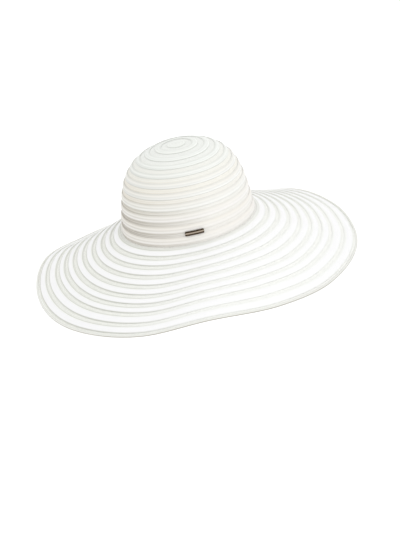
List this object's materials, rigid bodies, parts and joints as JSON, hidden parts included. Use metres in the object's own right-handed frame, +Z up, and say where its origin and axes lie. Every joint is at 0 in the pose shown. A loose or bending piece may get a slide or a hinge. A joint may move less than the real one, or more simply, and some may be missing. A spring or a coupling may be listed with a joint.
{
  "type": "beach hat",
  "caption": "Wide-brimmed beach hat of white ribbon rows sewn on a sheer base, with a round crown, a softly folded brim that rests on its rim and a small blank plate.",
  "frame": {"origin": "on the floor, in the middle of the rim's outline seen from above", "axes": "+Z up through the crown, -Y the front of the hat, +X to the right of someone looking at the front"},
  "size_m": [0.4354, 0.4514, 0.1696],
  "materials": {
    "ribbon": "ribbed white ribbon, soft sheen",
    "sheer": "sheer woven organza, slightly see-through",
    "binding": "narrow woven tape",
    "sweatband": "matt woven band",
    "plaque": "dark bronzed, satin"
  },
  "bodies": {
    "root": {"crown_base": "sheer", "brim_base": "sheer", "crown_ribbon_01": "ribbon", "crown_ribbon_02": "ribbon", "crown_ribbon_03": "ribbon", "crown_ribbon_04": "ribbon", "crown_ribbon_05": "ribbon", "crown_ribbon_06": "ribbon", "crown_ribbon_07": "ribbon", "crown_ribbon_08": "ribbon", "crown_ribbon_09": "ribbon", "crown_ribbon_10": "ribbon", "crown_ribbon_11": "ribbon", "brim_ribbon_01": "ribbon", "brim_ribbon_02": "ribbon", "brim_ribbon_03": "ribbon", "brim_ribbon_04": "ribbon", "brim_ribbon_05": "ribbon", "brim_ribbon_06": "ribbon", "brim_ribbon_07": "ribbon", "brim_ribbon_08": "ribbon", "brim_ribbon_09": "ribbon", "rim_binding": "binding", "sweatband": "sweatband", "plaque": "plaque"}
  },
  "joints": []
}
